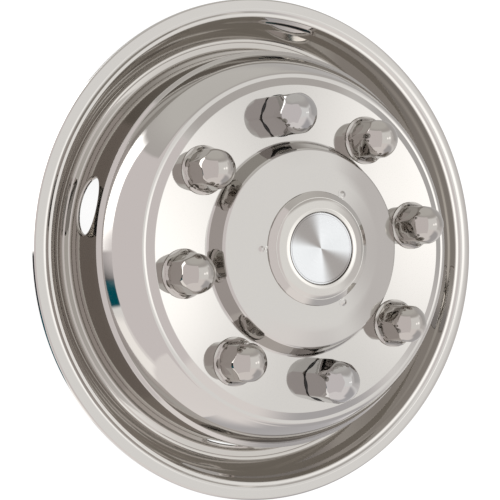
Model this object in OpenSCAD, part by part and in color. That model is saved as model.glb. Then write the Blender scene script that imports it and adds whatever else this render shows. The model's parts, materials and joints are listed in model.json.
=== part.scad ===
// Truck wheel simulator: a drawn stainless liner that dresses a 19.5 inch
// steel wheel with eight studs. It lies on its back, as it does off the
// vehicle. The origin is under its centre and +Z points out of the wheel.
// The hand holes lie on the X and Y axes and the studs half-way between.

/* [Stud circle] */
// Diameter of the circle that the studs stand on
stud_circle_d = 275; // [265:1:290]
// Plain disc between a lug cover's flange and the foot of the hub
hub_gap = 3.7; // [2:0.1:8]
// Plain disc between a lug cover's flange and the sloping band
disc_margin = 5; // [3:0.5:10]

/* [Sheet] */
// Thickness of the liner and cap sheet
sheet_t = 1.0; // [0.6:0.1:1.4]
// Thickness of the lug cover sheet
cover_t = 0.8; // [0.5:0.1:1.1]

/* [Rim] */
// Flat width of the outer lip
lip_w = 12; // [9:0.5:16]
// Depth of the lip's turned-back edge
lip_edge_h = 6; // [4.5:0.5:10]
// Width of the sloping roll inside the lip
roll_w = 7.5; // [6:0.5:11]
// Fall of the roll
roll_drop = 2.4; // [1.4:0.1:4]
// Radial run of the barrel slope
barrel_run = 10; // [7:0.5:14]
// Height of the barrel slope
barrel_h = 14.8; // [11:0.2:20]
// Radial run of the step between barrel and floor
step_run = 9.8; // [7:0.2:13]
// Height of that step
step_h = 11.6; // [9:0.2:15]
// Width of the flat floor that the part rests on
floor_w = 11.6; // [10:0.2:16]

/* [Skirt and hand holes] */
// Height of the skirt from floor to ledge
skirt_h = 47.5; // [46:0.5:58]
// Radial run of the skirt
skirt_run = 8.4; // [5:0.2:12]
// Width of the ledge on top of the skirt
ledge_w = 4.1; // [3.4:0.1:6]
// Clear width of a hand hole around the skirt
hand_hole_w = 59; // [45:1:66]
// Clear height of a hand hole up the skirt
hand_hole_h = 33.5; // [26:0.5:34.5]
// Bend radius of the flange turned into a hand hole
hand_bend_r = 2.6; // [1.6:0.1:3]
// Depth of that flange behind the skirt's face
hand_flange_d = 8; // [5:0.5:12]
// Thickness of the drawn-out flange
hand_flange_t = 0.8; // [0.5:0.1:0.9]

/* [Crown] */
// Height of the wall from ledge to shoulder corner
wall_h = 41.8; // [38:0.2:50]
// Radial run of the wall
wall_run = 2.5; // [1:0.1:6]
// Width of the shoulder outside the groove
shoulder_w = 22.9; // [22:0.1:30]
// Fall of the shoulder from the groove to its corner
shoulder_fall = 7.2; // [5:0.1:9]
// Radius that rounds the shoulder
shoulder_r = 30; // [22:0.5:31]
// Width of the band between groove and disc
band_w = 8.5; // [6:0.5:12]
// Rise of the band
band_h = 3.6; // [2:0.1:6]

/* [Hub] */
// Height of the hub wall
hub_h = 20; // [15:0.5:28]
// Radial run of the hub wall
hub_run = 7.6; // [4:0.2:12]
// Rise of the hub face up to the cap's rim
face_h = 10.5; // [7:0.5:15]
// Bulge of the hub face half-way up
face_bulge = 0.9; // [0.2:0.1:1.6]
// Length of the collar turned into the hub opening
collar_h = 9; // [7:0.5:14]
// Radius of a pressed locating dimple
dimple_r = 3.6; // [2.8:0.1:4.4]
// Height of a dimple
dimple_h = 1.3; // [0.9:0.1:1.6]
// Length of the lanced slot beside each dimple
lance_l = 6; // [4:0.5:8]
// Width of that slot
lance_w = 1; // [0.7:0.1:1.4]

/* [Centre cap] */
// Radius of the cap's rim
cap_rim_r = 58; // [55:0.5:64]
// Height of the cap's upright rim
cap_rim_h = 1.9; // [1.6:0.1:3]
// Rise of the cap from its rim to its crown
cap_rise = 7.4; // [6:0.1:10]
// Rim's overhang beyond the spigot
cap_overhang = 6.5; // [5:0.5:8]
// Wall of the spigot ring under the cap
spigot_t = 1.6; // [1.4:0.1:2.2]
// Wire radius of the cap's spring ring
wire_r = 1.1; // [0.9:0.1:1.2]
// Radius of the medallion
medallion_r = 36.1; // [30:0.1:38]
// Thickness of the medallion
medallion_t = 1.2; // [0.8:0.1:1.8]

/* [Lug covers] */
// Radius of the cover's rolled flange
cover_flange_r = 24.6; // [24:0.1:27]
// Corner radius of the cover's hexagon, and of its dome
cover_r = 20; // [18:0.1:20.5]
// Height of the dome's centre above the disc
cover_dome_z = 25; // [22:0.5:30]
// Radius of the bead rolled round the flange
cover_bead_r = 1.4; // [1:0.1:1.6]
// Length of the cover's neck behind the disc
neck_l = 4; // [3:0.5:7]
// Outer radius of a push-on retainer
retainer_r = 26.6; // [25.5:0.1:27.5]
// Thickness of a retainer
retainer_t = 0.6; // [0.4:0.1:0.9]
// Width of a slot between two retainer teeth
tooth_slot_w = 1.4; // [1:0.1:2]

/* [Mounting nuts] */
// Width across flats of the mounting nut
nut_af = 41; // [38:0.5:42]
// Radius of the nut's dome
nut_dome_r = 21.4; // [20.5:0.1:22]
// Height of the dome's centre above the nut's base
nut_dome_z = 30.6; // [28:0.2:36]
// Height of the hexagon's full corners
nut_corner_z = 23; // [19:0.5:25]
// Radius of the nut's neck
nut_neck_r = 15; // [13.5:0.1:16]
// Radius of the M22 stud thread's bore
thread_r = 10.19; // [9:0.01:11]
// Depth of the thread from the neck's end
thread_depth = 34; // [28:1:38]
// Thickness of the black washer under the nut
washer_t = 2; // [1.5:0.1:3]
// Outer radius of the washer
washer_r = 21.6; // [20:0.1:22.5]
// Outer radius of the nut's snap ring
snap_r = 19; // [18:0.1:21]
// Thickness of the snap ring
snap_t = 1.2; // [1:0.1:1.6]
// Depth of the snap ring's groove in the neck
snap_groove = 1; // [0.6:0.1:1.4]

/* [Hidden] */
stud_count = 8;
hand_hole_count = 4;
dimple_count = 3;
tooth_count = 12;
first_stud_deg = 180 / stud_count;
first_dimple_deg = 72.6;
// A cover or nut was left turned as it was pressed or tightened
cover_places = [[0, 2], [1, 8], [3, 54], [4, 39], [5, 17], [7, 7]];
nut_places = [[2, 21], [6, 52]];
seat_gap = 0.05;
slide_gap = 0.3;
tiny = 0.01;
arc_step = 12;
$fn = 96;

// Radii of the liner, from the stud circle outwards
disc_r = stud_circle_d / 2 + cover_flange_r + disc_margin;
groove_r = disc_r + band_w;
wall_top_r = groove_r + shoulder_w;
ledge_in_r = wall_top_r + wall_run;
ledge_out_r = ledge_in_r + ledge_w;
floor_in_r = ledge_out_r + skirt_run;
floor_out_r = floor_in_r + floor_w;
step_r = floor_out_r + step_run;
barrel_r = step_r + barrel_run;
lip_in_r = barrel_r + roll_w;
lip_r = lip_in_r + lip_w;
// Radii from the stud circle inwards
hub_foot_r = stud_circle_d / 2 - cover_flange_r - hub_gap;
hub_r = hub_foot_r - hub_run;
spigot_r = cap_rim_r - cap_overhang;
open_r = spigot_r + slide_gap;
// Heights of the liner's face above the surface it rests on
floor_z = sheet_t;
step_z = floor_z + step_h;
barrel_z = step_z + barrel_h;
lip_z = barrel_z + roll_drop;
ledge_z = floor_z + skirt_h;
wall_top_z = ledge_z + wall_h;
groove_z = wall_top_z + shoulder_fall;
disc_z = groove_z + band_h;
disc_back_z = disc_z - sheet_t;
hub_z = disc_z + hub_h;
// The hub face, half-way up and along its inner half
face_mid = [(hub_r + cap_rim_r) / 2, hub_z + face_h / 2 + face_bulge];
face_slope = (face_h / 2 - face_bulge) / ((hub_r - cap_rim_r) / 2);
function face_z(r) = hub_z + face_h + face_slope * (cap_rim_r - r);
open_z = face_z(open_r);
collar_end_z = open_z - collar_h;

function unit(v) = v / norm(v);
function flip(list) = [for (i = [len(list) - 1 : -1 : 0]) list[i]];

// Points of the arc that rounds the corner b between a and c
function corner_arc(a, b, c, r, step = arc_step) =
    let (
        u = unit(a - b),
        w = unit(c - b),
        half = acos(max(-1, min(1, u * w))) / 2,
        centre = b + unit(u + w) * r / sin(half),
        from = b + u * r / tan(half) - centre,
        to = b + w * r / tan(half) - centre,
        a0 = atan2(from[1], from[0]),
        turn = atan2(from[0] * to[1] - from[1] * to[0], from * to),
        n = max(1, ceil(abs(turn) / step))
    )
    [for (i = [0 : n]) centre + r * [cos(a0 + turn * i / n), sin(a0 + turn * i / n)]];

function flat_point(p) = [p[0], p[1]];

// An open path of [x, y, rounding radius] with its corners rounded
function rounded_path(p, step = arc_step) = [
    for (i = [0 : len(p) - 1])
        each (i == 0 || i == len(p) - 1 || p[i][2] == 0
            ? [flat_point(p[i])]
            : corner_arc(flat_point(p[i - 1]), flat_point(p[i]), flat_point(p[i + 1]), p[i][2], step))
];

// A closed outline with every corner rounded by r
function rounded_ring(p, r) = [
    for (i = [0 : len(p) - 1])
        each corner_arc(p[(i + len(p) - 1) % len(p)], p[i], p[(i + 1) % len(p)], r)
];

// Right-hand normal of the step from a to b
function side(a, b) = let (d = unit(b - a)) [d[1], -d[0]];

// The path moved sideways by t, away from its face
function moved_path(p, t) = [
    for (i = [0 : len(p) - 1])
        let (
            before = side(p[max(0, i - 1)], p[max(1, i)]),
            after = side(p[min(len(p) - 2, i)], p[min(len(p) - 1, i + 1)]),
            mean = unit(before + after)
        )
        p[i] - mean * t / (mean * before)
];

// Section of a sheet of thickness t whose face follows the path
function sheet_section(path, t) = concat(path, flip(moved_path(path, t)));

// The face of the liner from its outer edge to its centre opening
liner_face = rounded_path([
    [lip_r, lip_z - lip_edge_h, 0],
    [lip_r, lip_z, 2.5],
    [lip_in_r, lip_z, 14],
    [barrel_r, barrel_z, 2],
    [step_r, step_z, 5],
    [floor_out_r, floor_z, 4],
    [floor_in_r, floor_z, 3.4],
    [ledge_out_r, ledge_z, 1.6],
    [ledge_in_r, ledge_z, 1.6],
    [wall_top_r, wall_top_z, shoulder_r],
    [groove_r, groove_z, 1.5],
    [disc_r, disc_z, 2],
    [hub_foot_r, disc_z, 3],
    [hub_r, hub_z, 4],
    [face_mid[0], face_mid[1], 150],
    [open_r, open_z, 2],
    [open_r, collar_end_z, 0]
]);

// The skirt's line, which carries the hand holes
skirt_foot = [floor_in_r, floor_z];
skirt_dir = unit([ledge_out_r, ledge_z] - skirt_foot);
skirt_len = norm([ledge_out_r, ledge_z] - skirt_foot);
skirt_normal = side(skirt_foot, [ledge_out_r, ledge_z]);
// The flange's rim stays on the straight part of the skirt
flange_reach = 1.2;
// How far up the skirt the middle of a hand hole is
hand_hole_share = 0.48;
hand_hole_mid = skirt_foot + skirt_dir * skirt_len * hand_hole_share;
hand_points = 32;
// Depth of the flange's rim below the skirt's face
skin = 0.1;

// A place on the skirt: a round it, b up it and d behind its face
function on_skirt(a, b, d) =
    let (
        q = hand_hole_mid + skirt_dir * b - skirt_normal * d,
        t = a / hand_hole_mid[0] * 180 / PI
    )
    [q[0] * cos(t), q[0] * sin(t), q[1]];

function oval(w, i) =
    let (t = 360 * i / hand_points)
    [(hand_hole_w / 2 + w) * cos(t), (hand_hole_h / 2 + w) * sin(t)];

// Section of the turned flange: [outward from the clear hole, behind the face]
flange_outer = rounded_path([
    [hand_bend_r + flange_reach, skin, 0],
    [0, skin, hand_bend_r],
    [0, hand_flange_d, 0]
], 2 * arc_step);
flange_section = sheet_section(flange_outer, -hand_flange_t);

module hand_hole_flange() {
    m = len(flange_section);
    points = [
        for (i = [0 : hand_points - 1])
            for (s = flange_section)
                let (o = oval(s[0], i))
                on_skirt(o[0], o[1], s[1])
    ];
    faces = [
        for (i = [0 : hand_points - 1])
            for (j = [0 : m - 1])
                let (i2 = (i + 1) % hand_points, j2 = (j + 1) % m)
                each [
                    [i * m + j, i2 * m + j2, i2 * m + j],
                    [i * m + j, i * m + j2, i2 * m + j2]
                ]
    ];
    polyhedron(points = points, faces = faces);
}

// Cuts the sheet back to where the flange's bend starts
module hand_hole_cut() {
    cut_w = hand_bend_r + flange_reach / 4;
    tilt = atan2(skirt_normal[1], skirt_normal[0]);
    translate([hand_hole_mid[0], 0, hand_hole_mid[1]])
        rotate([0, 90 - tilt, 0])
            rotate([0, 0, 90])
                translate([0, 0, -hand_flange_d])
                    linear_extrude(height = 2 * hand_flange_d)
                        polygon([for (i = [0 : hand_points - 1]) oval(cut_w, i)]);
}

module at_stud(index) {
    rotate([0, 0, first_stud_deg + index * 360 / stud_count])
        translate([stud_circle_d / 2, 0, 0])
            children();
}

module round_hand_holes() {
    for (i = [0 : hand_hole_count - 1])
        rotate([0, 0, i * 360 / hand_hole_count])
            children();
}

// Stands its children on the hub face, r from the centre, looking out of it
module on_hub_face(r) {
    for (i = [0 : dimple_count - 1])
        rotate([0, 0, first_dimple_deg + i * 360 / dimple_count])
            translate([r, 0, face_z(r)])
                rotate([0, atan(face_slope), 0])
                    children();
}

dimple_ball_r = (dimple_r * dimple_r + dimple_h * dimple_h) / (2 * dimple_h);
// The lanced slot lies just outside the cap's rim, and the dimple outside the slot
lance_gap = 0.3;
lance_place_r = cap_rim_r + lance_gap + lance_w / 2;
dimple_place_r = lance_place_r + lance_w / 2 + 2 * lance_gap + dimple_r;

module dimple_bump() {
    root = 0.9 * sheet_t;
    intersection() {
        translate([0, 0, dimple_h - dimple_ball_r]) sphere(r = dimple_ball_r);
        translate([0, 0, -root]) cylinder(r = 2 * dimple_r, h = 2 * dimple_h + root);
    }
}

module dimple_hollow() {
    translate([0, 0, dimple_h - dimple_ball_r]) sphere(r = dimple_ball_r - sheet_t);
}

module lance_slot() {
    translate([-lance_w / 2, -lance_l / 2, -2 * sheet_t]) cube([lance_w, lance_l, 4 * sheet_t]);
}

nut_hole_r = nut_neck_r + slide_gap;
neck_step = 0.2;
cover_neck_r = cover_r - neck_step;
cover_hole_r = cover_neck_r + slide_gap;

module wheel_liner() {
    color([0.86, 0.85, 0.83])
    difference() {
        union() {
            difference() {
                rotate_extrude() polygon(sheet_section(liner_face, sheet_t));
                round_hand_holes() hand_hole_cut();
            }
            round_hand_holes() hand_hole_flange();
            on_hub_face(dimple_place_r) dimple_bump();
        }
        on_hub_face(dimple_place_r) dimple_hollow();
        on_hub_face(lance_place_r) lance_slot();
        for (place = cover_places)
            at_stud(place[0])
                translate([0, 0, disc_back_z - sheet_t]) cylinder(r = cover_hole_r, h = 3 * sheet_t);
        for (place = nut_places)
            at_stud(place[0])
                translate([0, 0, disc_back_z - sheet_t]) cylinder(r = nut_hole_r, h = 3 * sheet_t);
    }
}

// The cap: rim on the hub face, crown, and a seat for the medallion
cap_foot_z = face_z(cap_rim_r - sheet_t) + seat_gap;
cap_edge_z = cap_foot_z + cap_rim_h;
cap_top_z = cap_edge_z + cap_rise;
seat_r = medallion_r + slide_gap;
crown_w = 4.6;
crown_r = seat_r + crown_w;
// The slope's corner, where the cap bends over towards its crown
slope_in = 0.4;
slope_share = 0.72;
cap_slope_r = (cap_rim_r + crown_r) / 2 - slope_in;
cap_slope_top_z = cap_edge_z + cap_rise * slope_share;
// The medallion's face lies this far below the crown
medallion_sunk = 1.3;
medallion_seat_z = cap_top_z - medallion_t - medallion_sunk;
crown_lip = [0.7, 0.2];
cap_face = rounded_path([
    [cap_rim_r, cap_foot_z, 0],
    [cap_rim_r, cap_edge_z, 1.3],
    [cap_slope_r, cap_slope_top_z, 14],
    [crown_r, cap_top_z, 6],
    [seat_r + crown_lip[0], cap_top_z - crown_lip[1], 0.6],
    [seat_r, medallion_seat_z, 0.3],
    [0, medallion_seat_z, 0]
]);

// The spring ring sits just behind the end of the liner's collar
ring_z = collar_end_z - wire_r - seat_gap;
ring_r = open_r + sheet_t / 2;
spigot_end_z = ring_z - 3 * wire_r;
// The spigot's top is welded into the cap's sheet, short of its face
weld_depth = 0.8;
// Height of the cap's sloping face at radius r, between rim and slope corner
function cap_slope_z(r) =
    cap_edge_z + (cap_slope_top_z - cap_edge_z) * (cap_rim_r - r) / (cap_rim_r - cap_slope_r);

module centre_cap() {
    spigot_top_z = cap_slope_z(spigot_r) - weld_depth * sheet_t;
    color([0.88, 0.87, 0.85])
    difference() {
        union() {
            rotate_extrude() polygon(sheet_section(cap_face, sheet_t));
            rotate_extrude() polygon([
                [spigot_r - spigot_t, spigot_end_z],
                [spigot_r, spigot_end_z],
                [spigot_r, spigot_top_z],
                [spigot_r - spigot_t, spigot_top_z]
            ]);
        }
        translate([0, 0, ring_z])
            rotate_extrude() translate([ring_r, 0]) circle(r = wire_r + seat_gap);
    }
}

module cap_spring_ring() {
    ring_opening = 5;
    color([0.35, 0.35, 0.36])
    translate([0, 0, ring_z])
        difference() {
            rotate_extrude() translate([ring_r, 0]) circle(r = wire_r);
            translate([0, -ring_opening / 2, -2 * wire_r])
                cube([ring_r + 4 * wire_r, ring_opening, 4 * wire_r]);
        }
}

module medallion() {
    edge = 0.3;
    color([0.78, 0.8, 0.82])
    translate([0, 0, medallion_seat_z + seat_gap])
        rotate_extrude() polygon(rounded_path([
            [0, 0, 0],
            [medallion_r, 0, 0],
            [medallion_r, medallion_t, edge],
            [0, medallion_t, 0]
        ]));
}

function hexagon(apothem) = [for (i = [0 : 5]) apothem / cos(30) * [cos(60 * i), sin(60 * i)]];

// Hexagon with rounded corners under a dome, shrunk by t all round
module domed_hexagon(t) {
    corner_round = 1.6;
    intersection() {
        translate([0, 0, -t]) linear_extrude(height = cover_dome_z + cover_r)
            polygon(rounded_ring(hexagon(cover_r * cos(30) - t), corner_round - t / 2));
        union() {
            translate([0, 0, -t]) cylinder(r = cover_r - t, h = cover_dome_z + t);
            translate([0, 0, cover_dome_z]) sphere(r = cover_r - t);
        }
    }
}

module lug_cover(place) {
    bead_x = cover_flange_r - cover_bead_r;
    color([0.84, 0.83, 0.82])
    at_stud(place[0]) translate([0, 0, disc_z + seat_gap])
        rotate([0, 0, place[1] - first_stud_deg - place[0] * 360 / stud_count])
        difference() {
            union() {
                domed_hexagon(0);
                cylinder(r = bead_x, h = cover_t);
                rotate_extrude() translate([bead_x, cover_bead_r]) circle(r = cover_bead_r);
                translate([0, 0, -sheet_t - neck_l])
                    cylinder(r = cover_neck_r, h = sheet_t + neck_l + cover_t);
            }
            domed_hexagon(cover_t);
            translate([0, 0, -sheet_t - neck_l - 1])
                cylinder(r = cover_neck_r - cover_t, h = sheet_t + neck_l + 1);
        }
}

// Push-on spring plate: a flat rim on the disc's back, teeth dished onto the neck
module cover_retainer(place) {
    tooth_l = 3.4;
    tooth_root_r = cover_neck_r + tooth_l;
    tooth_tip_r = cover_neck_r + seat_gap;
    dish = 0.9;
    color([0.32, 0.32, 0.33])
    at_stud(place[0]) translate([0, 0, disc_back_z - seat_gap])
        difference() {
            rotate_extrude() polygon([
                [retainer_r, 0],
                [tooth_root_r, 0],
                [tooth_tip_r, -dish],
                [tooth_tip_r, -dish - retainer_t],
                [tooth_root_r, -retainer_t],
                [retainer_r, -retainer_t]
            ]);
            for (i = [0 : tooth_count - 1])
                rotate([0, 0, i * 360 / tooth_count])
                    translate([0, -tooth_slot_w / 2, -dish - 2 * retainer_t])
                        cube([tooth_root_r, tooth_slot_w, dish + 3 * retainer_t]);
        }
}

nut_base_z = disc_z + washer_t + 2 * seat_gap;
snap_z = disc_back_z - seat_gap - snap_t;
// The neck runs on behind its snap ring
neck_tail = 3.4;
nut_neck_end_z = snap_z - neck_tail;
nut_neck_len = nut_base_z - nut_neck_end_z;

// Outline that the nut's hexagon is turned to: chamfered foot, corners, cone, dome
module nut_turned_form() {
    foot = 1.3;
    dome_start_deg = 15;
    dome_step_deg = 5;
    corner_r = nut_af / 2 / cos(30);
    rotate_extrude() polygon(concat(
        [[0, 0], [corner_r - foot, 0], [corner_r, foot], [corner_r, nut_corner_z]],
        [for (a = [dome_start_deg : dome_step_deg : 90])
            [nut_dome_r * cos(a), nut_dome_z + nut_dome_r * sin(a)]]
    ));
}

module mounting_nut(place) {
    groove_root_r = nut_neck_r - snap_groove;
    corner_round = 0.9;
    mouth_chamfer = 1;
    drill_tip_r = 0.5;
    drill_point = thread_r * 0.6;
    color([0.8, 0.79, 0.78])
    at_stud(place[0])
        rotate([0, 0, place[1] - first_stud_deg - place[0] * 360 / stud_count])
        difference() {
            union() {
                translate([0, 0, nut_base_z]) intersection() {
                    nut_turned_form();
                    linear_extrude(height = nut_dome_z + nut_dome_r + 1)
                        polygon(rounded_ring(hexagon(nut_af / 2), corner_round));
                }
                translate([0, 0, nut_neck_end_z]) cylinder(r = nut_neck_r, h = nut_neck_len + tiny);
            }
            translate([0, 0, snap_z - seat_gap]) difference() {
                cylinder(r = nut_neck_r + 1, h = snap_t + 2 * seat_gap);
                translate([0, 0, -1]) cylinder(r = groove_root_r, h = snap_t + 2);
            }
            translate([0, 0, nut_neck_end_z - 1]) cylinder(r = thread_r, h = thread_depth + 1);
            translate([0, 0, nut_neck_end_z + thread_depth - tiny])
                cylinder(r1 = thread_r, r2 = drill_tip_r, h = drill_point);
            translate([0, 0, nut_neck_end_z - tiny])
                cylinder(r1 = thread_r + mouth_chamfer, r2 = thread_r, h = mouth_chamfer);
        }
}

module nut_washer(place) {
    round = 0.6;
    color([0.05, 0.05, 0.05])
    at_stud(place[0]) translate([0, 0, disc_z + seat_gap])
        difference() {
            rotate_extrude() polygon(rounded_path([
                [0, 0, 0], [washer_r, 0, round], [washer_r, washer_t, round], [0, washer_t, 0]]));
            translate([0, 0, -1]) cylinder(r = nut_hole_r, h = washer_t + 2);
        }
}

// Open spring ring in the neck's groove, which keeps the nut on the liner
module nut_snap_ring(place) {
    opening = 7;
    color([0.3, 0.3, 0.31])
    at_stud(place[0]) translate([0, 0, snap_z])
        difference() {
            cylinder(r = snap_r, h = snap_t);
            translate([0, 0, -1]) cylinder(r = nut_neck_r - snap_groove + seat_gap, h = snap_t + 2);
            translate([0, -opening / 2, -1]) cube([snap_r + 1, opening, snap_t + 2]);
        }
}

wheel_liner();
centre_cap();
cap_spring_ring();
medallion();
lug_cover(cover_places[0]);  // lug_cover_1
lug_cover(cover_places[1]);  // lug_cover_2
lug_cover(cover_places[2]);  // lug_cover_3
lug_cover(cover_places[3]);  // lug_cover_4
lug_cover(cover_places[4]);  // lug_cover_5
lug_cover(cover_places[5]);  // lug_cover_6
cover_retainer(cover_places[0]);  // cover_retainer_1
cover_retainer(cover_places[1]);  // cover_retainer_2
cover_retainer(cover_places[2]);  // cover_retainer_3
cover_retainer(cover_places[3]);  // cover_retainer_4
cover_retainer(cover_places[4]);  // cover_retainer_5
cover_retainer(cover_places[5]);  // cover_retainer_6
mounting_nut(nut_places[0]);  // mounting_nut_1
mounting_nut(nut_places[1]);  // mounting_nut_2
nut_washer(nut_places[0]);  // nut_washer_1
nut_washer(nut_places[1]);  // nut_washer_2
nut_snap_ring(nut_places[0]);  // nut_snap_ring_1
nut_snap_ring(nut_places[1]);  // nut_snap_ring_2
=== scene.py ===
# %% [markdown]
# # A truck wheel simulator in polished stainless steel
#
# A wheel simulator is a thin drawn shell that is pushed over a painted steel truck wheel to make it look
# like polished metal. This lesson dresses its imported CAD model. Everything that shows is a mirror, and a
# mirror shows each small fault of a mesh, so the visible metal is modelled again here as smooth turned
# shapes of the same sizes. The spring parts behind it stay as they came from CAD.

# %% Load the frame
import json
import math

import bmesh
import bpy
from mathutils import Matrix, Vector

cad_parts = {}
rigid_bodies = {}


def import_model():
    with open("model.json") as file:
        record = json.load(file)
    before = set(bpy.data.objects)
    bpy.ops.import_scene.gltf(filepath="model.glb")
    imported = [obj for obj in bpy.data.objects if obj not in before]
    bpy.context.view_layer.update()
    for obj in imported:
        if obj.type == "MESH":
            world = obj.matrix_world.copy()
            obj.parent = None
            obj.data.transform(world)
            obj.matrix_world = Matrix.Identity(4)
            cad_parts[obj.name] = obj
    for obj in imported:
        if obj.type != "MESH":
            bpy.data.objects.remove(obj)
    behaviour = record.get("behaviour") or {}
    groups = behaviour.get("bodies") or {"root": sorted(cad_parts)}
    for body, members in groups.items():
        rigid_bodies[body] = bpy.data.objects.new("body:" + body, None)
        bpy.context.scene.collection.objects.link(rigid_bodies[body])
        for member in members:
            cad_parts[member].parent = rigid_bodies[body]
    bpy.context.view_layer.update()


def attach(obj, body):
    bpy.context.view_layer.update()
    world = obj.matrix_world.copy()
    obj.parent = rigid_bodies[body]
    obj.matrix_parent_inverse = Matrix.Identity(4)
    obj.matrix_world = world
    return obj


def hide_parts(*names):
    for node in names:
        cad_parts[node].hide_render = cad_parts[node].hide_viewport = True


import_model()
MM = 0.001

# %% [markdown]
# ## The camera
#
# The wheel lies on its back on the floor, so what the photographer saw as "in front" is up here. The
# camera stands about thirty degrees off the wheel's axis and two metres away. A long lens keeps the far
# side of the rim nearly as large as the near side. The wheel is turned a little in the picture, so the
# direction that is up in the picture isn't quite an axis of the model.

# %% Camera
camera_at = Vector((-0.9794, -0.2243, 1.7721))
aim_at = Vector((-0.0196, -0.0050, 0.0298))
picture_up = Vector((-0.2181, 0.9759, 0.0))
picture_roll = -0.0107

back = (camera_at - aim_at).normalized()
right = picture_up.cross(back).normalized()
up = back.cross(right)
turn = Matrix.Rotation(picture_roll, 3, back)
lens = bpy.data.cameras.new("camera")
lens.sensor_width = 36
lens.lens = 137.2
camera = bpy.data.objects.new("camera", lens)
camera.matrix_world = Matrix.Translation(camera_at) @ Matrix(
    (turn @ right, turn @ up, back)).transposed().to_4x4()
bpy.context.scene.collection.objects.link(camera)
bpy.context.scene.camera = camera
print("The camera is", round((camera_at - aim_at).length, 3), "m from what it looks at")

# %% [markdown]
# ## Turned shapes
#
# Drawn, spun and turned parts share one recipe. Half of the section is laid down as a few corner points
# joined by edges, each corner is rounded with a vertex bevel, and the wire is spun round an axis. A
# vertex bevel starts at a given distance from the corner. For a rounding of radius r between two edges
# that meet at an angle, that distance is r divided by the tangent of half the angle.

# %% Corner points to a rounded wire, and the wire to a turned surface
TURN = 2 * math.pi
UP = Vector((0, 0, 1))


def rounded_wire(bm, corners, coarse=16.0):
    """corners are (radius, height, rounding) in millimetres. A big rounding gets more segments."""
    verts = [bm.verts.new((r * MM, 0, z * MM)) for r, z, _ in corners]
    for a, b in zip(verts, verts[1:]):
        bm.edges.new((a, b))
    here = [v.co.copy() for v in verts]
    for i in range(1, len(corners) - 1):
        rounding = corners[i][2] * MM
        if rounding:
            before, after = here[i - 1] - here[i], here[i + 1] - here[i]
            between = before.angle(after)
            count = max(3, math.ceil(math.degrees(math.pi - between) * math.sqrt(corners[i][2]) / coarse))
            bmesh.ops.bevel(
                bm, geom=[verts[i]], affect="VERTICES", offset=rounding / math.tan(between / 2),
                offset_type="OFFSET", segments=count, profile=0.5, material=-1)


def spin_wire(bm, steps):
    bmesh.ops.spin(
        bm, geom=bm.verts[:] + bm.edges[:], cent=(0, 0, 0), axis=UP, dvec=(0, 0, 0), angle=TURN,
        steps=steps, use_merge=True)
    bmesh.ops.remove_doubles(bm, verts=bm.verts[:], dist=0.002 * MM)
    bmesh.ops.recalc_face_normals(bm, faces=bm.faces[:])


def turned(corners, steps, coarse=16.0):
    bm = bmesh.new()
    rounded_wire(bm, corners, coarse)
    spin_wire(bm, steps)
    return bm


# %% [markdown]
# A finished bmesh becomes an object at the origin. Edges sharper than the given angle stay sharp, and
# the rest is shaded smooth. The weighted normals let each large face keep its own direction at its
# border, so that a flat stays an undistorted mirror right up to where its bend begins.

# %% A bmesh to a finished piece
def piece(name, bm, sharp=38.0, weighted=True):
    mesh = bpy.data.meshes.new(name)
    for face in bm.faces:
        face.smooth = True
    bm.to_mesh(mesh)
    bm.free()
    mesh.set_sharp_from_angle(angle=math.radians(sharp))
    obj = bpy.data.objects.new(name, mesh)
    bpy.context.scene.collection.objects.link(obj)
    if weighted:
        flats = obj.modifiers.new("weighted_normals", "WEIGHTED_NORMAL")
        flats.keep_sharp = True
        flats.weight = 100
    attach(obj, "root")
    return obj


def cut_away(obj, cutter, name):
    """Subtracts the bmesh from the object and keeps the result as its mesh."""
    mesh = bpy.data.meshes.new(name)
    cutter.to_mesh(mesh)
    cutter.free()
    tool = bpy.data.objects.new(name, mesh)
    bpy.context.scene.collection.objects.link(tool)
    cut = obj.modifiers.new(name, "BOOLEAN")
    cut.operation = "DIFFERENCE"
    cut.solver = "EXACT"
    cut.object = tool
    while obj.modifiers[0] != cut:
        obj.modifiers.move(len(obj.modifiers) - 1, 0)
    others = [m for m in obj.modifiers if m != cut]
    for other in others:
        other.show_viewport = False
    graph = bpy.context.evaluated_depsgraph_get()
    result = bpy.data.meshes.new_from_object(obj.evaluated_get(graph))
    obj.modifiers.remove(cut)
    for other in others:
        other.show_viewport = True
    obj.data = result
    bpy.data.objects.remove(tool)


# %% [markdown]
# ## The liner
#
# The liner is one sheet of stainless steel a millimetre thick. From its edge inwards it has a lip that
# laps the wheel's flange, a barrel with two low ridges that follows the rim, a floor that it rests on, a
# steep skirt, a narrow sloping ledge, the crowned wall of the hat that leans in to a small shoulder, a
# groove, the flat disc that carries the lug covers, and the hub. One wire holds that whole section.

# %% Section of the liner
SHEET = 1.0
DISC = 101.1
STUD_CIRCLE = 137.5
HUB_SLOPE = 0.1995
CAP_RIM = 58.0
HUB_TOP = 131.6
OPENING_R = 51.8
LINER_STEPS = 320
LINER_COARSE = 20.0
NEARLY_LEVEL = 0.99


def hub_face(r):
    """The height of the sloping hub face at this radius, in millimetres."""
    return HUB_TOP + HUB_SLOPE * (CAP_RIM - r)


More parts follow.
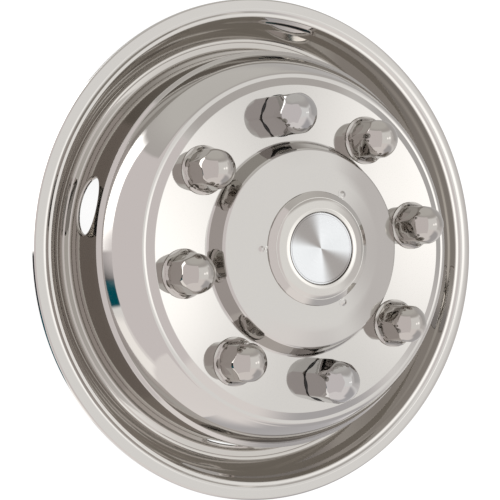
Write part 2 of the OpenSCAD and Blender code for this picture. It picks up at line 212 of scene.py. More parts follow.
lip = [(264.4, 23.8, 0), (264.4, 28.4, 2.2), (258.6, 29.5, 40), (252.2, 29.8, 6), (249.0, 27.9, 2.5)]
barrel = [(245.4, 27.7, 1.8), (242.3, 22.4, 9), (239.6, 19.6, 9), (234.9, 12.0, 6)]
valley_floor = [(225.1, 1.0, 4), (221.6, 1.0, 0.8), (220.4, 1.6, 0.8)]
skirt = [(213.5, 1.6, 3.0), (207.2, 50.6, 1.4)]
hat_wall = [(203.2, 52.7, 2.2), (193.6, 78.3, 110), (181.2, 97.1, 6.5)]
groove_and_disc = [(175.6, 97.3, 1.2), (167.6, DISC, 1.4), (109.2, DISC, 3)]
hub = [(101.6, 121.1, 4), (79.8, 127.25, 150), (OPENING_R, hub_face(OPENING_R), 2), (OPENING_R, 123.84, 0)]
liner_corners = lip + barrel + valley_floor + skirt + hat_wall + groove_and_disc + hub


def sheet_behind(bm, thickness):
    """Gives an open turned sheet its thickness on the side away from the viewer. Its largest level face
    shows which way the faces point."""
    top = max(bm.faces, key=lambda f: f.calc_area() * (f.normal.z ** 2 > NEARLY_LEVEL))
    if top.normal.z < 0:
        bmesh.ops.reverse_faces(bm, faces=bm.faces[:])
    bmesh.ops.solidify(bm, geom=bm.faces[:], thickness=thickness * MM)


liner_bm = turned(liner_corners, LINER_STEPS, LINER_COARSE)
sheet_behind(liner_bm, SHEET)
print("Liner faces before cutting:", len(liner_bm.faces))
liner = piece("liner", liner_bm)
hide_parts("wheel_liner")

# %% [markdown]
# ## Holes
#
# Each hand hole is an oval in the sloping skirt whose edge is turned in. A flange that bends round an
# oval is easy to make flat: a circle is stretched to the oval, and each extrusion shrinks it by the next
# step of the bend and moves it down. Afterwards its points are wrapped onto the skirt's cone.

# %% Places on the skirt
HAND_COUNT = 4
HAND_HOLE = (29.5, 16.75)
HAND_BEND = 2.6
HAND_DEPTH = 3.6
HAND_SHARE = 0.48
skirt_foot, skirt_head = [Vector(corner[:2]) for corner in skirt]
skirt_along = (skirt_head - skirt_foot).normalized()
skirt_out = Vector((skirt_along.y, -skirt_along.x))
hand_middle = skirt_foot.lerp(skirt_head, HAND_SHARE)
print("A hand hole is", 2 * HAND_HOLE[0], "by", 2 * HAND_HOLE[1], "mm inside its flange")


def wrap_on_skirt(bm, index):
    """x runs round the skirt, y up it and z out of it, all in metres."""
    for v in bm.verts:
        place = hand_middle * MM + skirt_along * v.co.y + skirt_out * v.co.z
        around = v.co.x / (hand_middle.x * MM) + index * TURN / HAND_COUNT
        v.co = (place.x * math.cos(around), place.x * math.sin(around), place.y)


def oval(bm, grow, depth, segments=128):
    """An oval that is larger all round than the hand hole, at this depth, as a ring of edges."""
    made = bmesh.ops.create_circle(bm, cap_ends=False, segments=segments, radius=1)["verts"]
    bmesh.ops.scale(bm, verts=made, vec=((HAND_HOLE[0] + grow) * MM, (HAND_HOLE[1] + grow) * MM, 1))
    bmesh.ops.translate(bm, verts=made, vec=(0, 0, -depth * MM))
    return list({e for v in made for e in v.link_edges})


def next_oval(bm, edges, was, grow, drop):
    """Draws the ring of edges on to the next oval, further down, and returns the new ring."""
    made = bmesh.ops.extrude_edge_only(bm, edges=edges)["geom"]
    verts = [g for g in made if isinstance(g, bmesh.types.BMVert)]
    bmesh.ops.scale(
        bm, verts=verts,
        vec=((HAND_HOLE[0] + grow) / (HAND_HOLE[0] + was), (HAND_HOLE[1] + grow) / (HAND_HOLE[1] + was), 1))
    bmesh.ops.translate(bm, verts=verts, vec=(0, 0, -drop * MM))
    return [g for g in made if isinstance(g, bmesh.types.BMEdge)]


# %% Cut the hand holes, the stud holes and the slots by the cap
# Each is (number of the stud, degrees that its hexagon is turned)
COVERS = [(0, 2), (1, 8), (3, 54), (4, 39), (5, 17), (7, 7)]
NUTS = [(2, 21), (6, 52)]
FIRST_STUD = 22.5
STUD_STEP = 45
COVER_HOLE_R = 20.1
NUT_HOLE_R = 15.3
PLUG_REACH = 6
PLUG_GAP = 0.3
STUD_PLUG = 4


def stud_place(index):
    around = math.radians(FIRST_STUD + STUD_STEP * index)
    return Vector((math.cos(around), math.sin(around), 0)) * STUD_CIRCLE * MM


def hand_hole_plug(index):
    bm = bmesh.new()
    rim = oval(bm, HAND_BEND + PLUG_GAP, -PLUG_REACH)
    bmesh.ops.contextual_create(bm, geom=rim)
    made = bmesh.ops.extrude_face_region(bm, geom=bm.faces[:])["geom"]
    bmesh.ops.translate(
        bm, verts=[g for g in made if isinstance(g, bmesh.types.BMVert)], vec=(0, 0, -2 * PLUG_REACH * MM))
    bmesh.ops.recalc_face_normals(bm, faces=bm.faces[:])
    wrap_on_skirt(bm, index)
    return bm


def joined(shapes, name):
    """One bmesh of several."""
    bm = bmesh.new()
    for shape in shapes:
        part = bpy.data.meshes.new(name)
        shape.to_mesh(part)
        shape.free()
        bm.from_mesh(part)
        bpy.data.meshes.remove(part)
    return bm


def stud_plug(index, radius):
    bm = bmesh.new()
    bmesh.ops.create_cone(
        bm, cap_ends=True, segments=96, radius1=radius * MM, radius2=radius * MM,
        depth=STUD_PLUG * MM,
        matrix=Matrix.Translation(stud_place(index) + UP * (DISC - SHEET / 2) * MM))
    return bm


SLOT_R = 58.8
SLOT_SIZE = (1.0, 6.0, 8.0)
MARKS = (72.6, 192.6, 312.6)


def slot_plug(degrees):
    """A short slit beside the cap, as long as a screwdriver's blade is wide."""
    bm = bmesh.new()
    bmesh.ops.create_cube(bm, size=1)
    bmesh.ops.scale(bm, verts=bm.verts[:], vec=Vector(SLOT_SIZE) * MM)
    bmesh.ops.translate(bm, verts=bm.verts[:], vec=(SLOT_R * MM, 0, hub_face(SLOT_R) * MM))
    bmesh.ops.rotate(
        bm, verts=bm.verts[:], cent=(0, 0, 0), matrix=Matrix.Rotation(math.radians(degrees), 3, "Z"))
    return bm


plugs = [hand_hole_plug(i) for i in range(HAND_COUNT)]
plugs += [slot_plug(degrees) for degrees in MARKS]
plugs += [stud_plug(index, COVER_HOLE_R) for index, _ in COVERS]
plugs += [stud_plug(index, NUT_HOLE_R) for index, _ in NUTS]
cut_away(liner, joined(plugs, "plugs"), "plugs")
print("Liner faces after cutting:", len(liner.data.polygons))

# %% [markdown]
# The flange of each hand hole starts level with the skirt, bends in, and ends a few millimetres behind
# it. The drawn-out metal there is a little thinner than the sheet.

# %% Turned-in flanges
FLANGE_LAP = 1.2
FLANGE_SINK = 0.02
FLANGE_SKIN = 0.8
BEND_STEPS = 8


def hand_hole_flange(index):
    bm = bmesh.new()
    was = HAND_BEND + FLANGE_LAP
    edges = oval(bm, was, FLANGE_SINK)
    drops = [(HAND_BEND, 0.0)]
    for step in range(1, BEND_STEPS + 1):
        bend = math.pi / 2 * step / BEND_STEPS
        drops.append((HAND_BEND * (1 - math.sin(bend)), HAND_BEND * (1 - math.cos(bend))))
    drops.append((0.0, HAND_DEPTH))
    depth = 0.0
    for grow, reach in drops:
        edges = next_oval(bm, edges, was, grow, reach - depth)
        was, depth = grow, reach
    bmesh.ops.recalc_face_normals(bm, faces=bm.faces[:])
    outer = max(bm.faces, key=lambda f: abs(f.normal.z))
    if outer.normal.z < 0:
        bmesh.ops.reverse_faces(bm, faces=bm.faces[:])
    bmesh.ops.solidify(bm, geom=bm.faces[:], thickness=FLANGE_SKIN * MM)
    wrap_on_skirt(bm, index)
    return bm


for i in range(HAND_COUNT):
    flange = piece("hand_hole_flange_" + str(i + 1), hand_hole_flange(i))
    print("Flange", i + 1, "has", len(flange.data.polygons), "faces")

# %% [markdown]
# Three small dimples are pressed into the hub face round the cap, each in front of a slit. A dimple is a
# low bump with a soft foot. Its section is turned round its own axis, tilted to the slope of the hub, and
# lies so close to the sheet that its foot can't be told from it.

# %% Dimples by the cap
DIMPLE_R = 63.5
dimple_section = [(0, 1.3, 0), (0.9, 1.3, 2.2), (3.4, 0.03, 2.6), (5.2, 0.03, 0)]


def dimple(degrees):
    bm = turned(dimple_section, 48, 6.0)
    top = max(bm.faces, key=lambda f: f.normal.z ** 2)
    if top.normal.z < 0:
        bmesh.ops.reverse_faces(bm, faces=bm.faces[:])
    slope = Matrix.Rotation(math.atan(HUB_SLOPE), 4, "Y")
    move = Matrix.Translation(Vector((DIMPLE_R, 0, hub_face(DIMPLE_R))) * MM)
    around = Matrix.Rotation(math.radians(degrees), 4, "Z")
    bmesh.ops.transform(bm, verts=bm.verts[:], matrix=around @ move @ slope)
    return bm


all_dimples = joined([dimple(degrees) for degrees in MARKS], "dimple")
piece("hub_dimples", all_dimples, weighted=False)
print("Dimples:", len(MARKS), "of", 2 * dimple_section[2][0], "mm")

# %% [markdown]
# ## The centre cap and the medallion
#
# The cap is a shallow pressed cover. Its upright rim sits on the hub face, its top slopes to a rounded
# crown, and the medallion lies in a seat just below the crown. A ring welded under the cap reaches
# through the liner's opening.

# %% Centre cap
CAP_EDGE = 133.75
CAP_TOP = 141.15
SEAT = 138.65
cap_corners = [
    (CAP_RIM, 131.85, 0), (CAP_RIM, CAP_EDGE, 1.3), (49.1, 139.08, 14), (41.0, CAP_TOP, 6),
    (37.1, 140.95, 0.6), (36.4, SEAT, 0.3), (0, SEAT, 0)]
cap_bm = turned(cap_corners, 240, 12.0)
sheet_behind(cap_bm, SHEET)
cap = piece("centre_cap_shell", cap_bm)
spigot_corners = [
    (51.5, 138.0, 0), (51.5, 119.4, 0.3), (49.9, 119.4, 0.3), (49.9, 138.0, 0), (51.5, 138.0, 0)]
piece("centre_cap_spigot", turned(spigot_corners, 160))
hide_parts("centre_cap")
print("The cap is", 2 * CAP_RIM, "mm across and its crown is", CAP_TOP, "mm up")

# %% Medallion
medal_corners = [
    (0, 138.70, 0), (36.1, 138.70, 0), (36.1, 140.0, 0.5), (34.6, 140.0, 0.4), (34.0, 139.6, 0.3),
    (0, 139.6, 0)]
medal = piece("medallion_disc", turned(medal_corners, 240, 8.0), weighted=False)
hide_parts("medallion")

# %% [markdown]
# ## Lug covers
#
# A lug cover is a hexagon under a dome, pressed from thin sheet, with a flange rolled round its foot. It
# narrows a little towards its top. A hexagon and a dome of the same corner radius meet in six arches. The
# cover starts as a turned shape, and then every point that sticks out beyond one of the six flats is
# pressed back to it. A small blend keeps the edge as round as pressed sheet is, and near the flange the
# flats bend outwards and run out.

# %% Press six flats into a turned shape
FLARE = 0.13


def pressed(distance, limit, blend):
    """The smaller of the two, with a round change from one to the other."""
    share = max(0.0, min(1.0, 0.5 + 0.5 * (limit - distance) / blend))
    return limit + (distance - limit) * share - blend * share * (1 - share)


def press_hexagon(bm, apothem, blend, chosen, foot=0.0):
    """Presses the chosen points back to six flats at this distance from the axis, in millimetres. Below
    the height of the foot the flats bend outwards and run out."""
    for v in bm.verts:
        if chosen(v):
            low = max(0.0, foot - v.co.z / MM)
            limit = (apothem + FLARE * low * low) * MM
            for k in range(6):
                around = math.radians(30 + 60 * k)
                flat = Vector((math.cos(around), math.sin(around), 0))
                far = v.co.dot(flat)
                v.co += flat * (pressed(far, limit, blend * MM) - far)


def put(bm, index, degrees, height):
    """Turns a piece round its own axis and stands it on its stud."""
    bmesh.ops.rotate(
        bm, verts=bm.verts[:], cent=(0, 0, 0), matrix=Matrix.Rotation(math.radians(degrees), 3, "Z"))
    bmesh.ops.translate(bm, verts=bm.verts[:], vec=stud_place(index) + UP * height * MM)


# %% Lug covers
COVER_TOP = 44.75
DOME_R = 20.3
SKIN = 0.8
COVER_FLAT = 18.8
COVER_BLEND = 0.5
COVER_FOOT = 7.0
FLANGE_TOP = 1.5
COVER_SEAT = 0.05
# The middle of the tapering side's sheet: its radius at this height, and what it loses per millimetre
SIDE_R = 21.15
SIDE_Z = 6.8
SIDE_TAPER = 0.069
cover_outer = [
    (0, COVER_TOP, 0), (18.98, COVER_TOP, DOME_R), (21.6, 6.8, 6), (22.5, 1.5, 0.2), (22.9, 2.95, 0.6),
    (24.9, 2.95, 1.2), (24.9, 0, 1.2), (19.8, 0, 0), (19.8, -5, 0.2)]
cover_inner = [
    (19.0, -5, 0.2), (19.0, 0.6, 0.3), (20.6, 2.0, 0.5), (18.2, COVER_TOP - SKIN, 19.2),
    (0, COVER_TOP - SKIN, 0)]


def is_inner(v):
    """True for a point on the inner skin of a cover that stands at the origin."""
    z, r = v.co.z / MM, v.co.xy.length / MM
    if z > COVER_TOP - DOME_R:
        return math.hypot(r, z - COVER_TOP + DOME_R) < DOME_R - 0.5 * SKIN
    return r < SIDE_R - SIDE_TAPER * (z - SIDE_Z)


def lug_cover(index, degrees):
    bm = bmesh.new()
    rounded_wire(bm, cover_outer + cover_inner, 9.0)
    spin_wire(bm, 216)
    inner = {v.index for v in bm.verts if is_inner(v)}
    above = {v.index for v in bm.verts if v.co.z > FLANGE_TOP * MM}
    outside, inside = above - inner, above & inner
    press_hexagon(bm, COVER_FLAT, COVER_BLEND, lambda v: v.index in outside, COVER_FOOT)
    press_hexagon(bm, COVER_FLAT - SKIN, COVER_BLEND, lambda v: v.index in inside, COVER_FOOT)
    put(bm, index, degrees, DISC + COVER_SEAT)
    return bm


for number, (index, degrees) in enumerate(COVERS, 1):
    cover = piece("cover_" + str(number), lug_cover(index, degrees), weighted=False)
    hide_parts("lug_cover_" + str(number))
print("A lug cover has", len(cover.data.polygons), "faces")

# %% [markdown]
# ## Mounting nuts
#
# Two of the eight are real nuts, top and bottom, and hold the liner on. They are solid, larger, and have
# no flange. The turned form is a chamfered foot, the corners of the hexagon, a cone and a dome.

# %% Mounting nuts
NUT_BASE = 103.2
NUT_FLAT = 20.5
NUT_BLEND = 0.9
NUT_CORE_R = 16
ROUNDING_ERROR = 0.001
nut_corners = [
    (0, 52.0, 0), (9.6, 49.73, 28), (17.4, 43.1, 24), (20.67, 36.14, 16), (23.67, 23, 0.5), (23.67, 12, 0),
    (23.67, 1.3, 0.3), (22.37, 0, 0.3), (15, 0, 0), (15, -3.06, 0.05), (14, -3.06, 0.05), (14, -4.4, 0.05),
    (15, -4.4, 0.05), (15, -7.75, 0.4), (11.19, -7.75, 0), (10.19, -6.75, 0), (10.19, 26.25, 0), (0, 32.0, 0)]


def mounting_nut(index, degrees):
    bm = bmesh.new()
    rounded_wire(bm, nut_corners, 6.0)
    spin_wire(bm, 240)
    press_hexagon(
        bm, NUT_FLAT, NUT_BLEND,
        lambda v: v.co.z > -ROUNDING_ERROR * MM and v.co.xy.length > NUT_CORE_R * MM)
    put(bm, index, degrees, NUT_BASE)
    return bm


for number, (index, degrees) in enumerate(NUTS, 1):
    nut = piece("nut_" + str(number), mounting_nut(index, degrees), weighted=False)
    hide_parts("mounting_nut_" + str(number))
print("A mounting nut has", len(nut.data.polygons), "faces")

# %% [markdown]
# ## Materials
#
# One small function adds a node with its settings and its links, and another turns the sRGB hex values
# that a colour picker shows into the linear values that Blender works with.

# %% Helpers for materials
def linear(code):
    channels = [int(code[i:i + 2], 16) / 255 for i in (1, 3, 5)]
    return [c / 12.92 if c <= 0.04045 else ((c + 0.055) / 1.055) ** 2.4 for c in channels] + [1.0]


def add(tree, kind, settings=None, values=None, links=None):
    """Adds a node. links maps an input to (node, output)."""
    node = tree.nodes.new(kind)
    for name, value in (settings or {}).items():
        setattr(node, name, value)
    for name, value in (values or {}).items():
        node.inputs[name].default_value = value
    for name, (source, output) in (links or {}).items():
        tree.links.new(source.outputs[output], node.inputs[name])
    return node


def blank_material(name):
    material = bpy.data.materials.new(name)
    material.use_nodes = True
    material.node_tree.nodes.clear()
    return material, material.node_tree


# %% [markdown]
# The liner is grade 304 stainless steel, drawn and then polished on buffing wheels. That gives a mirror
# with a slightly warm tint, which is a little wavy where the sheet was drawn, with hair-fine polishing
# lines and faint hand marks. In the narrow valley behind the lip the base colour is painted a little darker
# and browner, as painted shade for that recess. The distance from the axis and the height pick that place
# out.

# %% Polished stainless steel of the liner
BUFF_LINE = 1.6
WAVE = 120.0
SMUDGE = 45.0
# The painted shade begins at the first of each pair and is full at the second
VALLEY_SHADE_R = (250, 242)
VALLEY_SHADE_TOP = (52, 40)


def per_metre(size_mm):
    """The scale of a pattern whose features are this big, on coordinates in metres."""
    return 1.0 / (size_mm * MM)


def mirror_metal(name, colour, roughness, wave_depth, valley_shade=None):
    """A buffed metal. The valley colour is painted shade: a darker, browner base colour in the recess behind
    the lip.
    """
    material, tree = blank_material(name)
    place = add(tree, "ShaderNodeTexCoord")
    wave = add(tree, "ShaderNodeTexNoise", values={"Scale": per_metre(WAVE), "Detail": 1.0},
               links={"Vector": (place, "Object")})
    wavy = add(tree, "ShaderNodeBump", values={"Strength": 1.0, "Distance": wave_depth * MM},
               links={"Height": (wave, "Fac")})
    parts = add(tree, "ShaderNodeSeparateXYZ", links={"Vector": (place, "Object")})
    flat = add(tree, "ShaderNodeCombineXYZ", links={"X": (parts, "X"), "Y": (parts, "Y")})
    radius = add(tree, "ShaderNodeVectorMath", {"operation": "LENGTH"}, links={0: (flat, 0)})
    ring = add(tree, "ShaderNodeCombineXYZ", links={"X": (radius, "Value"), "Z": (parts, "Z")})
    lines = add(tree, "ShaderNodeTexNoise", values={"Scale": per_metre(BUFF_LINE), "Detail": 3.0},
                links={"Vector": (ring, 0)})
    smudge = add(tree, "ShaderNodeTexNoise", values={"Scale": per_metre(SMUDGE), "Detail": 4.0},
                 links={"Vector": (place, "Object")})
    rough = add(tree, "ShaderNodeMapRange",
                values={"From Min": 0.3, "From Max": 0.8,
                        "To Min": roughness * 0.6, "To Max": roughness * 1.6},
                links={"Value": (smudge, "Fac")})
    fine = add(tree, "ShaderNodeMapRange",
               values={"From Min": 0.3, "From Max": 0.7, "To Min": 0.0, "To Max": roughness * 0.5},
               links={"Value": (lines, "Fac")})
    total = add(tree, "ShaderNodeMath", {"operation": "ADD"}, links={0: (rough, 0), 1: (fine, 0)})
    shader = add(tree, "ShaderNodeBsdfPrincipled",
                 values={"Base Color": linear(colour), "Metallic": 1.0},
                 links={"Normal": (wavy, "Normal"), "Roughness": (total, 0)})
    # Painted shade: the base colour turns darker and browner in the recessed valley behind the lip.
    if valley_shade:
        inside = add(tree, "ShaderNodeMapRange", {"interpolation_type": "SMOOTHSTEP"},
                     {"From Min": VALLEY_SHADE_R[0] * MM, "From Max": VALLEY_SHADE_R[1] * MM},
                     {"Value": (radius, "Value")})
        below = add(tree, "ShaderNodeMapRange", {"interpolation_type": "SMOOTHSTEP"},
                    {"From Min": VALLEY_SHADE_TOP[0] * MM, "From Max": VALLEY_SHADE_TOP[1] * MM},
                    {"Value": (parts, "Z")})
        both = add(tree, "ShaderNodeMath", {"operation": "MULTIPLY"}, links={0: (inside, 0), 1: (below, 0)})
        painted_valley_shade = add(tree, "ShaderNodeMix", {"data_type": "RGBA"}, {6: linear(colour), 7: linear(valley_shade)},
                   {0: (both, 0)})
        tree.links.new(painted_valley_shade.outputs[2], shader.inputs["Base Color"])
    add(tree, "ShaderNodeOutputMaterial", links={"Surface": (shader, "BSDF")})
    return material


# The second colour is painted shade for the valley recess behind the lip.
liner_steel = mirror_metal("buffed_stainless_304_liner", "#BDBAB6", 0.035, 0.25, "#B6B2AD")
cap_steel = mirror_metal("buffed_stainless_304_cap", "#C0BDB8", 0.05, 0.06)
# The covers use a darker copy of the same stainless, as painted shade for how dark their reflections look.
cover_steel_painted_darker = mirror_metal("buffed_stainless_304_cover_painted_darker", "#B3AFAA", 0.03, 0.05)
nut_chrome = mirror_metal("decorative_chrome_plate", "#B5B3B1", 0.03, 0.03)

# %% [markdown]
# The medallion is spun aluminium: a turning tool left fine rings round its centre. Rings spread the light
# across them, so the disc shows bright and dark fans that meet in the middle. The shader gets this from
# anisotropy with a tangent that runs round the centre, and fine rings in the bump. The base colour adds a
# painted dark fan, one darker ray right across the centre, as painted shade of the reflection.

# %% Spun aluminium of the medallion
RING = 0.5
PAINTED_FAN_ANGLE = 147.0
spun_aluminium, tree = blank_material("spun_aluminium")
place = add(tree, "ShaderNodeTexCoord")
parts = add(tree, "ShaderNodeSeparateXYZ", links={"Vector": (place, "Object")})
flat = add(tree, "ShaderNodeCombineXYZ", links={"X": (parts, "X"), "Y": (parts, "Y")})
radius = add(tree, "ShaderNodeVectorMath", {"operation": "LENGTH"}, links={0: (flat, 0)})
only_radius = add(tree, "ShaderNodeCombineXYZ", links={"X": (radius, "Value")})
rings = add(tree, "ShaderNodeTexNoise", values={"Scale": per_metre(RING), "Detail": 2.0},
            links={"Vector": (only_radius, 0)})
ring_bump = add(tree, "ShaderNodeBump", values={"Strength": 0.4, "Distance": 0.02 * MM},
                links={"Height": (rings, "Fac")})
round_way = add(tree, "ShaderNodeVectorMath", {"operation": "CROSS_PRODUCT"}, {1: (0, 0, 1)}, {0: (flat, 0)})
tangent = add(tree, "ShaderNodeVectorMath", {"operation": "NORMALIZE"}, links={0: (round_way, 0)})
ring_rough = add(tree, "ShaderNodeMapRange",
                 values={"From Min": 0.3, "From Max": 0.7, "To Min": 0.26, "To Max": 0.36},
                 links={"Value": (rings, "Fac")})
# Painted shade: a dark fan right across the centre is painted into the base colour.
angle = add(tree, "ShaderNodeMath", {"operation": "ARCTAN2"}, links={0: (parts, "Y"), 1: (parts, "X")})
from_painted_fan = add(tree, "ShaderNodeMath", {"operation": "SUBTRACT"}, {1: math.radians(PAINTED_FAN_ANGLE)},
               {0: (angle, 0)})
swing = add(tree, "ShaderNodeMath", {"operation": "COSINE"}, links={0: (from_painted_fan, 0)})
both_ways = add(tree, "ShaderNodeMath", {"operation": "ABSOLUTE"}, links={0: (swing, 0)})
painted_fan_share = add(tree, "ShaderNodeMapRange", {"interpolation_type": "SMOOTHSTEP"},
          {"From Min": 0.72, "From Max": 1.0}, {"Value": (both_ways, 0)})
painted_dark_fan = add(tree, "ShaderNodeMix", {"data_type": "RGBA"}, {6: linear("#D2D4D5"), 7: linear("#8F8B88")},
             {0: (painted_fan_share, 0)})
shader = add(tree, "ShaderNodeBsdfPrincipled", values={"Metallic": 1.0, "Anisotropic": 0.85},
             links={"Base Color": (painted_dark_fan, 2), "Normal": (ring_bump, "Normal"), "Roughness": (ring_rough, 0),
                    "Tangent": (tangent, 0)})
add(tree, "ShaderNodeOutputMaterial", links={"Surface": (shader, "BSDF")})

# %% [markdown]
# Spring plates, snap rings and the spring ring are spring steel with a phosphate coat, oiled and nearly
# black, with tiny grey crystals. The washers are moulded nylon: black, dull, with a faint grain.

# %% Phosphated spring steel
CRYSTAL = 0.6
phosphated_spring_steel, tree = blank_material("phosphated_spring_steel")
place = add(tree, "ShaderNodeTexCoord")
crystals = add(tree, "ShaderNodeTexVoronoi", values={"Scale": per_metre(CRYSTAL)},
               links={"Vector": (place, "Object")})
shade = add(tree, "ShaderNodeMix", {"data_type": "RGBA"}, {6: linear("#4A4A4C"), 7: linear("#75757A")},
            {0: (crystals, "Distance")})
grain = add(tree, "ShaderNodeBump", values={"Strength": 0.3, "Distance": 0.03 * MM},
            links={"Height": (crystals, "Distance")})
dull = add(tree, "ShaderNodeMapRange", values={"To Min": 0.38, "To Max": 0.6},
           links={"Value": (crystals, "Distance")})
shader = add(tree, "ShaderNodeBsdfPrincipled", values={"Metallic": 1.0},
             links={"Base Color": (shade, 2), "Normal": (grain, "Normal"), "Roughness": (dull, 0)})
add(tree, "ShaderNodeOutputMaterial", links={"Surface": (shader, "BSDF")})

# %% Moulded nylon
MOULD_GRAIN = 0.8
moulded_nylon, tree = blank_material("moulded_nylon")
place = add(tree, "ShaderNodeTexCoord")
mould = add(tree, "ShaderNodeTexNoise", values={"Scale": per_metre(MOULD_GRAIN), "Detail": 2.0},
            links={"Vector": (place, "Object")})
dull = add(tree, "ShaderNodeMapRange", values={"To Min": 0.4, "To Max": 0.62},
           links={"Value": (mould, "Fac")})
shade = add(tree, "ShaderNodeMix", {"data_type": "RGBA"}, {6: linear("#161616"), 7: linear("#222222")},
            {0: (mould, "Fac")})
grain = add(tree, "ShaderNodeBump", values={"Strength": 0.3, "Distance": 0.02 * MM},
            links={"Height": (mould, "Fac")})
shader = add(tree, "ShaderNodeBsdfPrincipled", values={"IOR": 1.53},
             links={"Base Color": (shade, 2), "Normal": (grain, "Normal"), "Roughness": (dull, 0)})
add(tree, "ShaderNodeOutputMaterial", links={"Surface": (shader, "BSDF")})

# %% Give each piece its finish
FINISHES = {
    "liner": liner_steel, "hand_hole_flange": liner_steel, "hub_dimples": liner_steel,
    "centre_cap": cap_steel, "cover_": cover_steel_painted_darker, "nut_": nut_chrome, "medallion": spun_aluminium,
    "cap_spring_ring": phosphated_spring_steel, "cover_retainer": phosphated_spring_steel,
    "nut_snap_ring": phosphated_spring_steel, "nut_washer": moulded_nylon}
for obj in bpy.data.objects:
    if obj.type == "MESH":
        fitting = [start for start in FINISHES if obj.name.startswith(start)]
        if fitting:
            finish = FINISHES[max(fitting, key=len)]
            if obj.material_slots:
                for slot in obj.material_slots:
                    slot.material = finish
            else:
                obj.data.materials.append(finish)
            print(obj.name, "is", finish.name)

# %% [markdown]
# ## Studio
#
# A mirror shows its surroundings, so the studio is most of the picture. The wheel is in a tent of pale
# cloth: darker above and to the right, slightly warm below, with a large pinkish card on the left, two
# soft lights that the disc reflects, and behind the card a bright gap, a dark one and a blue-green one.
# The studio is painted on the world by direction, so it is the same for every camera. The floor is seen
# directly but not in reflections, where the studio takes its place.
#
# Directions are given as two angles, in degrees, as on a globe whose pole points up in the picture.
# Round is zero straight out of the wheel and grows to the right, and high grows upwards.

# %% Floor
FLOOR_HALF = 6
PAPER_GLOW = 0.9
bm = bmesh.new()
bmesh.ops.create_grid(bm, x_segments=1, y_segments=1, size=FLOOR_HALF)
mesh = bpy.data.meshes.new("floor")
bm.to_mesh(mesh)
bm.free()
floor = bpy.data.objects.new("floor", mesh)
bpy.context.scene.collection.objects.link(floor)
floor.visible_glossy = False
paper, tree = blank_material("white_paper")
diffuse = add(tree, "ShaderNodeBsdfDiffuse", values={"Color": linear("#7A7A7A")})
glow = add(tree, "ShaderNodeEmission", values={"Color": (1, 1, 1, 1), "Strength": PAPER_GLOW})
both = add(tree, "ShaderNodeAddShader", links={0: (glow, 0), 1: (diffuse, 0)})
add(tree, "ShaderNodeOutputMaterial", links={"Surface": (both, 0)})
floor.data.materials.append(paper)

# %% World
world = bpy.data.worlds.new("studio")
bpy.context.scene.world = world
world.use_nodes = True
tree = world.node_tree
tree.nodes.clear()
PICTURE_TURN = math.radians(12.6)
STUDIO_LEVEL = 1.31
look = add(tree, "ShaderNodeTexCoord")
turned_look = add(tree, "ShaderNodeVectorRotate", {"rotation_type": "Z_AXIS"}, {"Angle": -PICTURE_TURN},
                  {"Vector": (look, "Generated")})
axes = add(tree, "ShaderNodeSeparateXYZ", links={"Vector": (turned_look, 0)})
round_rad = add(tree, "ShaderNodeMath", {"operation": "ARCTAN2"}, links={0: (axes, "X"), 1: (axes, "Z")})
high_rad = add(tree, "ShaderNodeMath", {"operation": "ARCSINE"}, links={0: (axes, "Y")})
round_deg = (add(tree, "ShaderNodeMath", {"operation": "DEGREES"}, links={0: (round_rad, 0)}), 0)
high_deg = (add(tree, "ShaderNodeMath", {"operation": "DEGREES"}, links={0: (high_rad, 0)}), 0)
tent = add(tree, "ShaderNodeRGB")
tent.outputs[0].default_value = (0.95, 0.95, 0.95, 1)


def cloth(under, colour, *ramps):
    """Lays a colour over what is there. Each ramp is (angle, where it starts, where it is full)."""
    share = None
    for angle, start, full in ramps:
        ramp = add(tree, "ShaderNodeMapRange", {"interpolation_type": "SMOOTHSTEP"},
                   {"From Min": start, "From Max": full}, {"Value": angle})
        share = ramp if share is None else add(
            tree, "ShaderNodeMath", {"operation": "MULTIPLY"}, links={0: (share, 0), 1: (ramp, 0)})
    laid = add(tree, "ShaderNodeMix", {"data_type": "RGBA"}, {7: (*colour, 1)}, {0: (share, 0)})
    tree.links.new(under[0].outputs[under[1]], laid.inputs[6])
    return laid, 2


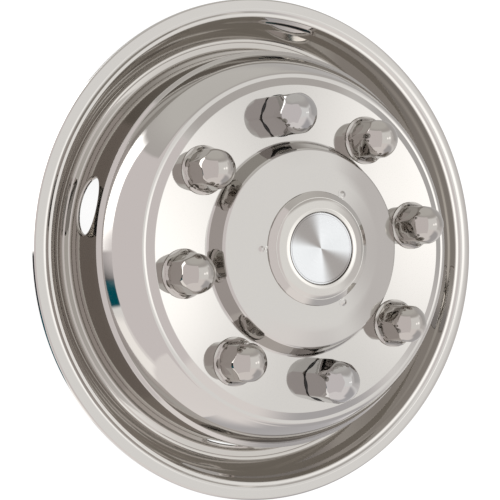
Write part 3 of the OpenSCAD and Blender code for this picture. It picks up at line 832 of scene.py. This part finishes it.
def lamp(under, strength, at_round, at_high, full, gone):
    """A soft round light at this place, full inside one radius and gone outside another."""
    across = add(tree, "ShaderNodeMath", {"operation": "SUBTRACT"}, {1: at_round}, {0: round_deg})
    along = add(tree, "ShaderNodeMath", {"operation": "SUBTRACT"}, {1: at_high}, {0: high_deg})
    offset = add(tree, "ShaderNodeCombineXYZ", links={"X": (across, 0), "Y": (along, 0)})
    distance = add(tree, "ShaderNodeVectorMath", {"operation": "LENGTH"}, links={0: (offset, 0)})
    return cloth(under, (strength, strength, strength), ((distance, "Value"), gone, full))


studio = (tent, 0)
studio = cloth(studio, (0.96, 0.92, 0.92), (high_deg, -22, -34))
studio = cloth(studio, (0.54, 0.53, 0.55), (high_deg, -22, -38), (round_deg, 22, 48), (high_deg, -75, -60))
studio = cloth(studio, (0.56, 0.54, 0.53), (high_deg, 28, 42))
studio = cloth(studio, (0.66, 0.65, 0.63), (high_deg, 45, 65))
studio = cloth(studio, (0.70, 0.68, 0.68), (round_deg, 44, 58), (high_deg, -30, -15), (high_deg, 33, 24))
studio = cloth(studio, (0.54, 0.53, 0.53), (round_deg, 64, 76), (high_deg, -12, 0), (high_deg, 60, 45))
studio = cloth(studio, (0.80, 0.755, 0.765), (round_deg, -114.5, -113.5), (round_deg, -9, -12),
               (high_deg, -52, -50), (high_deg, 46, 44))
studio = cloth(studio, (2.5, 2.5, 2.5), (round_deg, -113, -114.5), (high_deg, -1, 1), (high_deg, 50, 44))
studio = cloth(studio, (1.2, 1.17, 1.15), (round_deg, -117, -119), (high_deg, -54, -50),
               (high_deg, -22, -24))
studio = cloth(studio, (0.03, 0.03, 0.035), (round_deg, -113, -114.5), (high_deg, -14, -12),
               (high_deg, 1, -1))
studio = cloth(studio, (0.0, 0.09, 0.12), (round_deg, -113, -114.5), (high_deg, -24, -22),
               (high_deg, -11, -13))
studio = lamp(studio, 1.65, 24.0, 0, 2.0, 7.5)
studio = lamp(studio, 1.60, 38.5, 2.5, 2.5, 9.0)
light_path = add(tree, "ShaderNodeLightPath")
lit = add(tree, "ShaderNodeBackground", values={"Strength": STUDIO_LEVEL}, links={"Color": studio})
white = add(tree, "ShaderNodeBackground", values={"Color": (1, 1, 1, 1), "Strength": 1.0})
seen = add(tree, "ShaderNodeMixShader", links={0: (light_path, "Is Camera Ray"), 1: (lit, 0), 2: (white, 0)})
add(tree, "ShaderNodeOutputWorld", links={"Surface": (seen, 0)})

bpy.context.scene.view_settings.view_transform = "Standard"
